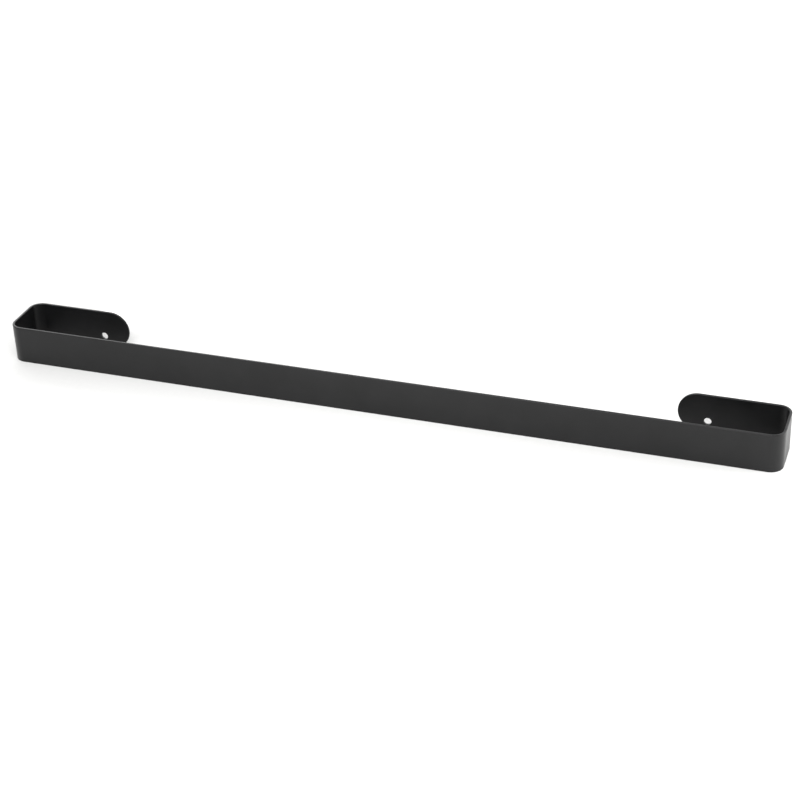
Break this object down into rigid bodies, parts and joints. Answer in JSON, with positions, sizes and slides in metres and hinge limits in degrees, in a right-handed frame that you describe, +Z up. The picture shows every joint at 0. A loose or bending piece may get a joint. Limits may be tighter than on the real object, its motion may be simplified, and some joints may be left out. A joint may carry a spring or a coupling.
{
  "type": "towel bar",
  "caption": "Towel bar folded from one flat metal strip: a long flat rail, short legs at both ends and round-ended tabs with screw holes that lie on the wall.",
  "frame": {"origin": "on the wall plane, midway between the centres of the two screw holes", "axes": "+X along the bar, +Y into the wall, +Z up; the bar stands in front of the wall towards -Y"},
  "size_m": [0.6, 0.044, 0.03],
  "materials": {
    "powder_coat": "matte black powder coat, fine grained"
  },
  "bodies": {
    "root": {"towel_bar": "powder_coat"}
  },
  "joints": []
}
